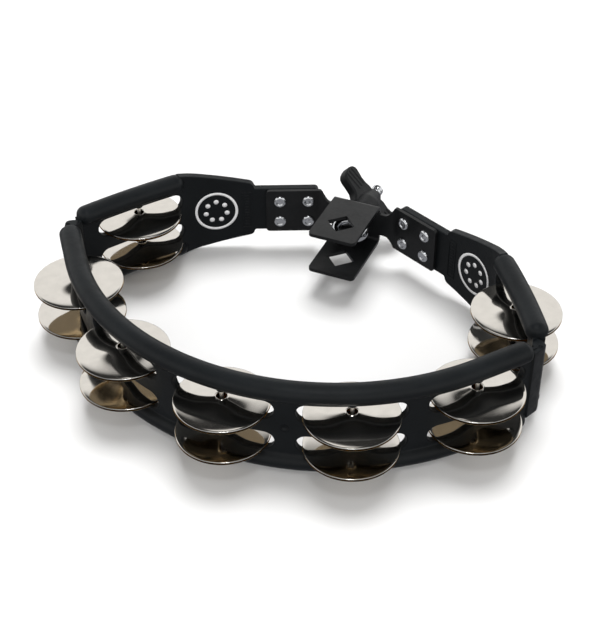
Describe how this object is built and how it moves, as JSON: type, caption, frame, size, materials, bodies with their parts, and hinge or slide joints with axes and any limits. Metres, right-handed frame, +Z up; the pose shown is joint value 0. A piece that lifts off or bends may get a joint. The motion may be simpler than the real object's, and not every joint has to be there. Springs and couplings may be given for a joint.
{
  "type": "mountable jingle tambourine",
  "caption": "Lens-shaped open tambourine: black moulded frame, paired jingles on pins in slots, riveted steel bracket with an eye bolt and wing nut that clamps it to a rod.",
  "frame": {"origin": "on the floor under the middle of the object's box, which the lower rails rest on", "axes": "+X to the right along the ring's width, +Y to the back where the bracket is, +Z up along the jingle pins"},
  "size_m": [0.3074, 0.2692, 0.061],
  "materials": {
    "frame_plastic": "matte black moulding with a fine spark-eroded grain",
    "jingle_nickel": "polished nickel plate over steel, warm tint",
    "pin_steel": "bright drawn steel",
    "bracket_paint": "satin black powder coat",
    "rivet_steel": "bright nickel plate",
    "eye_bolt_chrome": "chrome plate",
    "washer_zinc": "bright zinc plate",
    "wing_nut_plastic": "satin black moulding",
    "insert_brass": "machined"
  },
  "bodies": {
    "frame_assembly": {"frame": "frame_plastic", "bracket": "bracket_paint", "washer": "washer_zinc", "jingle_pin_1": "pin_steel", "jingle_pin_2": "pin_steel", "jingle_pin_3": "pin_steel", "jingle_pin_4": "pin_steel", "jingle_pin_5": "pin_steel", "jingle_pin_6": "pin_steel", "jingle_pin_7": "pin_steel", "rivet_1": "rivet_steel", "rivet_2": "rivet_steel", "rivet_3": "rivet_steel", "rivet_4": "rivet_steel", "rivet_5": "rivet_steel", "rivet_6": "rivet_steel", "rivet_7": "rivet_steel", "rivet_8": "rivet_steel"},
    "clamp_bolt": {"eye_bolt": "eye_bolt_chrome"},
    "clamp_nut": {"wing_nut": "wing_nut_plastic", "nut_insert": "insert_brass"},
    "jingle_1_upper_bottom_disc": {"jingle_1_upper_bottom": "jingle_nickel"},
    "jingle_1_upper_top_disc": {"jingle_1_upper_top": "jingle_nickel"},
    "jingle_1_lower_bottom_disc": {"jingle_1_lower_bottom": "jingle_nickel"},
    "jingle_1_lower_top_disc": {"jingle_1_lower_top": "jingle_nickel"},
    "jingle_2_upper_bottom_disc": {"jingle_2_upper_bottom": "jingle_nickel"},
    "jingle_2_upper_top_disc": {"jingle_2_upper_top": "jingle_nickel"},
    "jingle_2_lower_bottom_disc": {"jingle_2_lower_bottom": "jingle_nickel"},
    "jingle_2_lower_top_disc": {"jingle_2_lower_top": "jingle_nickel"},
    "jingle_3_upper_bottom_disc": {"jingle_3_upper_bottom": "jingle_nickel"},
    "jingle_3_upper_top_disc": {"jingle_3_upper_top": "jingle_nickel"},
    "jingle_3_lower_bottom_disc": {"jingle_3_lower_bottom": "jingle_nickel"},
    "jingle_3_lower_top_disc": {"jingle_3_lower_top": "jingle_nickel"},
    "jingle_4_upper_bottom_disc": {"jingle_4_upper_bottom": "jingle_nickel"},
    "jingle_4_upper_top_disc": {"jingle_4_upper_top": "jingle_nickel"},
    "jingle_4_lower_bottom_disc": {"jingle_4_lower_bottom": "jingle_nickel"},
    "jingle_4_lower_top_disc": {"jingle_4_lower_top": "jingle_nickel"},
    "jingle_5_upper_bottom_disc": {"jingle_5_upper_bottom": "jingle_nickel"},
    "jingle_5_upper_top_disc": {"jingle_5_upper_top": "jingle_nickel"},
    "jingle_5_lower_bottom_disc": {"jingle_5_lower_bottom": "jingle_nickel"},
    "jingle_5_lower_top_disc": {"jingle_5_lower_top": "jingle_nickel"},
    "jingle_6_upper_bottom_disc": {"jingle_6_upper_bottom": "jingle_nickel"},
    "jingle_6_upper_top_disc": {"jingle_6_upper_top": "jingle_nickel"},
    "jingle_6_lower_bottom_disc": {"jingle_6_lower_bottom": "jingle_nickel"},
    "jingle_6_lower_top_disc": {"jingle_6_lower_top": "jingle_nickel"},
    "jingle_7_upper_bottom_disc": {"jingle_7_upper_bottom": "jingle_nickel"},
    "jingle_7_upper_top_disc": {"jingle_7_upper_top": "jingle_nickel"},
    "jingle_7_lower_bottom_disc": {"jingle_7_lower_bottom": "jingle_nickel"},
    "jingle_7_lower_top_disc": {"jingle_7_lower_top": "jingle_nickel"}
  },
  "joints": [
    {"name": "jingle_1_upper_bottom_slide", "type": "slide", "parent": "frame_assembly", "child": "jingle_1_upper_bottom_disc", "axis": [0, 0, 1], "range_m": [-0.0003, 0.0017]},
    {"name": "jingle_1_upper_top_slide", "type": "slide", "parent": "jingle_1_upper_bottom_disc", "child": "jingle_1_upper_top_disc", "axis": [0, 0, 1], "range_m": [-0.0009, 0.0013]},
    {"name": "jingle_1_lower_bottom_slide", "type": "slide", "parent": "frame_assembly", "child": "jingle_1_lower_bottom_disc", "axis": [0, 0, 1], "range_m": [-0.0003, 0.0023]},
    {"name": "jingle_1_lower_top_slide", "type": "slide", "parent": "jingle_1_lower_bottom_disc", "child": "jingle_1_lower_top_disc", "axis": [0, 0, 1], "range_m": [-0.0009, 0.0022]},
    {"name": "jingle_2_upper_bottom_slide", "type": "slide", "parent": "frame_assembly", "child": "jingle_2_upper_bottom_disc", "axis": [0, 0, 1], "range_m": [-0.0003, 0.0017]},
    {"name": "jingle_2_upper_top_slide", "type": "slide", "parent": "jingle_2_upper_bottom_disc", "child": "jingle_2_upper_top_disc", "axis": [0, 0, 1], "range_m": [-0.0009, 0.0013]},
    {"name": "jingle_2_lower_bottom_slide", "type": "slide", "parent": "frame_assembly", "child": "jingle_2_lower_bottom_disc", "axis": [0, 0, 1], "range_m": [-0.0003, 0.0023]},
    {"name": "jingle_2_lower_top_slide", "type": "slide", "parent": "jingle_2_lower_bottom_disc", "child": "jingle_2_lower_top_disc", "axis": [0, 0, 1], "range_m": [-0.0009, 0.0022]},
    {"name": "jingle_3_upper_bottom_slide", "type": "slide", "parent": "frame_assembly", "child": "jingle_3_upper_bottom_disc", "axis": [0, 0, 1], "range_m": [-0.0003, 0.0017]},
    {"name": "jingle_3_upper_top_slide", "type": "slide", "parent": "jingle_3_upper_bottom_disc", "child": "jingle_3_upper_top_disc", "axis": [0, 0, 1], "range_m": [-0.0009, 0.0013]},
    {"name": "jingle_3_lower_bottom_slide", "type": "slide", "parent": "frame_assembly", "child": "jingle_3_lower_bottom_disc", "axis": [0, 0, 1], "range_m": [-0.0003, 0.0023]},
    {"name": "jingle_3_lower_top_slide", "type": "slide", "parent": "jingle_3_lower_bottom_disc", "child": "jingle_3_lower_top_disc", "axis": [0, 0, 1], "range_m": [-0.0009, 0.0022]},
    {"name": "jingle_4_upper_bottom_slide", "type": "slide", "parent": "frame_assembly", "child": "jingle_4_upper_bottom_disc", "axis": [0, 0, 1], "range_m": [-0.0003, 0.0017]},
    {"name": "jingle_4_upper_top_slide", "type": "slide", "parent": "jingle_4_upper_bottom_disc", "child": "jingle_4_upper_top_disc", "axis": [0, 0, 1], "range_m": [-0.0009, 0.0013]},
    {"name": "jingle_4_lower_bottom_slide", "type": "slide", "parent": "frame_assembly", "child": "jingle_4_lower_bottom_disc", "axis": [0, 0, 1], "range_m": [-0.0003, 0.0023]},
    {"name": "jingle_4_lower_top_slide", "type": "slide", "parent": "jingle_4_lower_bottom_disc", "child": "jingle_4_lower_top_disc", "axis": [0, 0, 1], "range_m": [-0.0009, 0.0022]},
    {"name": "jingle_5_upper_bottom_slide", "type": "slide", "parent": "frame_assembly", "child": "jingle_5_upper_bottom_disc", "axis": [0, 0, 1], "range_m": [-0.0003, 0.0017]},
    {"name": "jingle_5_upper_top_slide", "type": "slide", "parent": "jingle_5_upper_bottom_disc", "child": "jingle_5_upper_top_disc", "axis": [0, 0, 1], "range_m": [-0.0009, 0.0013]},
    {"name": "jingle_5_lower_bottom_slide", "type": "slide", "parent": "frame_assembly", "child": "jingle_5_lower_bottom_disc", "axis": [0, 0, 1], "range_m": [-0.0003, 0.0023]},
    {"name": "jingle_5_lower_top_slide", "type": "slide", "parent": "jingle_5_lower_bottom_disc", "child": "jingle_5_lower_top_disc", "axis": [0, 0, 1], "range_m": [-0.0009, 0.0022]},
    {"name": "jingle_6_upper_bottom_slide", "type": "slide", "parent": "frame_assembly", "child": "jingle_6_upper_bottom_disc", "axis": [0, 0, 1], "range_m": [-0.0003, 0.0017]},
    {"name": "jingle_6_upper_top_slide", "type": "slide", "parent": "jingle_6_upper_bottom_disc", "child": "jingle_6_upper_top_disc", "axis": [0, 0, 1], "range_m": [-0.0009, 0.0013]},
    {"name": "jingle_6_lower_bottom_slide", "type": "slide", "parent": "frame_assembly", "child": "jingle_6_lower_bottom_disc", "axis": [0, 0, 1], "range_m": [-0.0003, 0.0023]},
    {"name": "jingle_6_lower_top_slide", "type": "slide", "parent": "jingle_6_lower_bottom_disc", "child": "jingle_6_lower_top_disc", "axis": [0, 0, 1], "range_m": [-0.0009, 0.0022]},
    {"name": "jingle_7_upper_bottom_slide", "type": "slide", "parent": "frame_assembly", "child": "jingle_7_upper_bottom_disc", "axis": [0, 0, 1], "range_m": [-0.0003, 0.0017]},
    {"name": "jingle_7_upper_top_slide", "type": "slide", "parent": "jingle_7_upper_bottom_disc", "child": "jingle_7_upper_top_disc", "axis": [0, 0, 1], "range_m": [-0.0009, 0.0013]},
    {"name": "jingle_7_lower_bottom_slide", "type": "slide", "parent": "frame_assembly", "child": "jingle_7_lower_bottom_disc", "axis": [0, 0, 1], "range_m": [-0.0003, 0.0023]},
    {"name": "jingle_7_lower_top_slide", "type": "slide", "parent": "jingle_7_lower_bottom_disc", "child": "jingle_7_lower_top_disc", "axis": [0, 0, 1], "range_m": [-0.0009, 0.0022]},
    {"name": "wing_nut_turn", "type": "hinge", "parent": "frame_assembly", "child": "clamp_nut", "pos_m": [0, 0.1106, 0.0305], "axis": [0, 1, 0], "range_deg": [0, 4608]},
    {"name": "eye_bolt_slide", "type": "slide", "parent": "frame_assembly", "child": "clamp_bolt", "axis": [0, -1, 0], "range_m": [0, 0.016]}
  ],
  "couplings": [
    {"joint": "eye_bolt_slide", "follows": "wing_nut_turn", "m_per_rad": 0.00019894}
  ]
}
